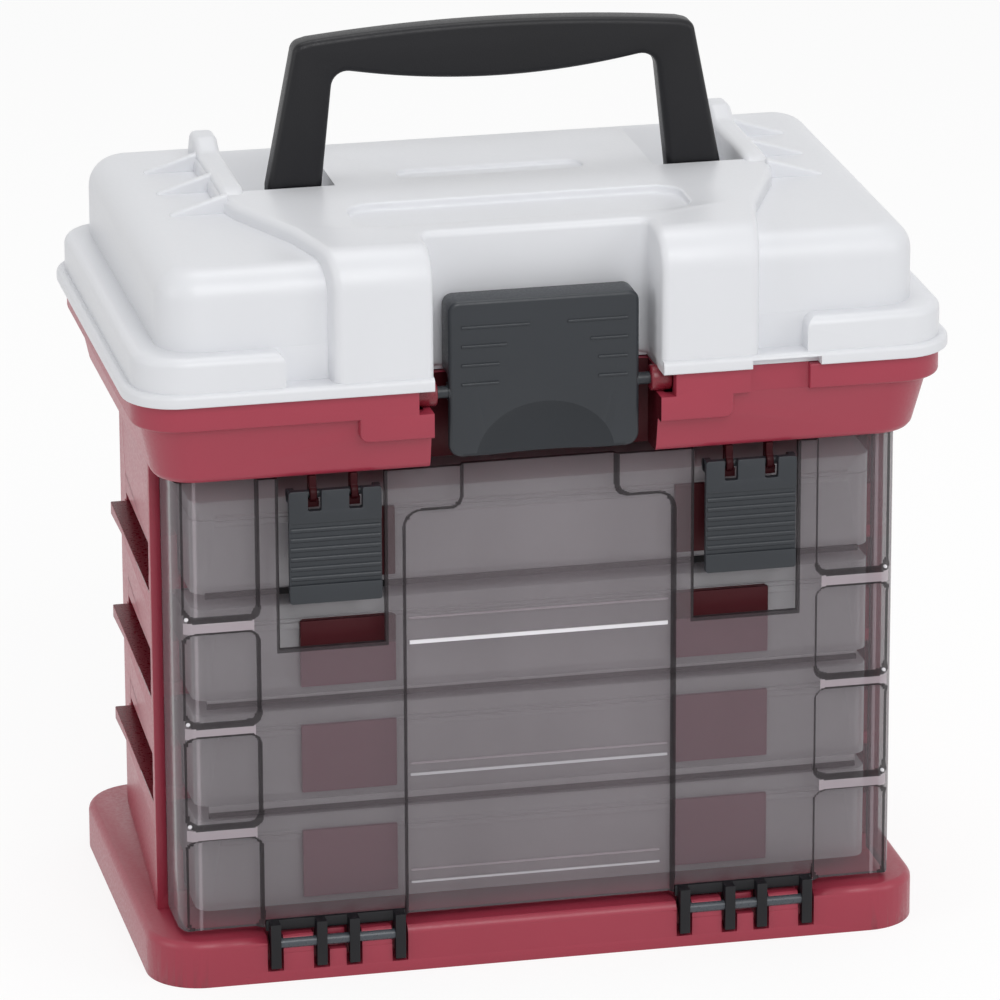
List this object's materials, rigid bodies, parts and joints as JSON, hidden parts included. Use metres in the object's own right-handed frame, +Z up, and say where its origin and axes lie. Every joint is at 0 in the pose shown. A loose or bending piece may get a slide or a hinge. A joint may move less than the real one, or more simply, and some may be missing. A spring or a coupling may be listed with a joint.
{
  "type": "fishing tackle cabinet",
  "caption": "Fishing tackle cabinet: a white-lidded bin with a folding handle, on a red rack of slide-out utility boxes behind a smoky drop-down door.",
  "frame": {"origin": "centre of the foot's underside, on the surface that it stands on", "axes": "+X to the right seen from the front, +Y to the back, +Z up"},
  "size_m": [0.2746, 0.176, 0.3042],
  "materials": {
    "red": "satin moulded plastic",
    "dark_red": "satin moulded plastic",
    "white": "pearly satin moulded plastic",
    "black": "fine-grained moulded plastic",
    "smoke": "clear smoky plastic",
    "clear": "clear plastic",
    "latch_red": "satin moulded plastic",
    "steel": "drawn pin"
  },
  "bodies": {
    "case": {"foot": "red", "rack": "red", "bin": "red", "bin_hooks": "dark_red", "lid_hinge_pins": "steel"},
    "lid": {"lid": "white", "handle_pins": "black"},
    "handle": {"handle": "black"},
    "main_latch": {"main_latch": "black"},
    "door": {"door": "smoke", "door_hinge_left": "black", "door_hinge_right": "black"},
    "door_latch_left": {"door_latch_left": "black"},
    "door_latch_right": {"door_latch_right": "black"},
    "box_1": {"box_1_tray": "clear", "box_1_lid": "clear", "box_1_latches": "latch_red", "box_1_dividers": "clear"},
    "box_2": {"box_2_tray": "clear", "box_2_lid": "clear", "box_2_latches": "latch_red", "box_2_dividers": "clear"},
    "box_3": {"box_3_tray": "clear", "box_3_lid": "clear", "box_3_latches": "latch_red", "box_3_dividers": "clear"},
    "box_4": {"box_4_tray": "clear", "box_4_lid": "clear", "box_4_latches": "latch_red", "box_4_dividers": "clear"}
  },
  "joints": [
    {"name": "lid_hinge", "type": "hinge", "parent": "case", "child": "lid", "pos_m": [0, 0.084, 0.205], "axis": [-1, 0, 0], "range_deg": [0, 100]},
    {"name": "handle_fold", "type": "hinge", "parent": "lid", "child": "handle", "pos_m": [0, 0.005, 0.2455], "axis": [-1, 0, 0], "range_deg": [0, 90]},
    {"name": "main_latch_swing", "type": "hinge", "parent": "case", "child": "main_latch", "pos_m": [0, -0.0771, 0.2013], "axis": [1, 0, 0], "range_deg": [0, 25]},
    {"name": "door_hinge", "type": "hinge", "parent": "case", "child": "door", "pos_m": [0, -0.075, 0.0134], "axis": [1, 0, 0], "range_deg": [0, 90]},
    {"name": "door_latch_left_swing", "type": "hinge", "parent": "case", "child": "door_latch_left", "pos_m": [-0.0694, -0.0754, 0.1695], "axis": [-1, 0, 0], "range_deg": [0, 85]},
    {"name": "door_latch_right_swing", "type": "hinge", "parent": "case", "child": "door_latch_right", "pos_m": [0.0694, -0.0754, 0.1695], "axis": [-1, 0, 0], "range_deg": [0, 85]},
    {"name": "box_1_slide", "type": "slide", "parent": "case", "child": "box_1", "axis": [0, -1, 0], "range_m": [0, 0.0197]},
    {"name": "box_2_slide", "type": "slide", "parent": "case", "child": "box_2", "axis": [0, -1, 0], "range_m": [0, 0.0833]},
    {"name": "box_3_slide", "type": "slide", "parent": "case", "child": "box_3", "axis": [0, -1, 0], "range_m": [0, 0.11]},
    {"name": "box_4_slide", "type": "slide", "parent": "case", "child": "box_4", "axis": [0, -1, 0], "range_m": [0, 0.0315]}
  ],
  "couplings": [
    {"joint": "door_latch_left_swing", "follows": "door_hinge", "ratio": 0.944},
    {"joint": "door_latch_right_swing", "follows": "door_hinge", "ratio": 0.944},
    {"joint": "box_1_slide", "follows": "door_hinge", "m_per_rad": 0.0125},
    {"joint": "box_2_slide", "follows": "door_hinge", "m_per_rad": 0.053},
    {"joint": "box_3_slide", "follows": "door_hinge", "m_per_rad": 0.07},
    {"joint": "box_4_slide", "follows": "door_hinge", "m_per_rad": 0.02}
  ]
}
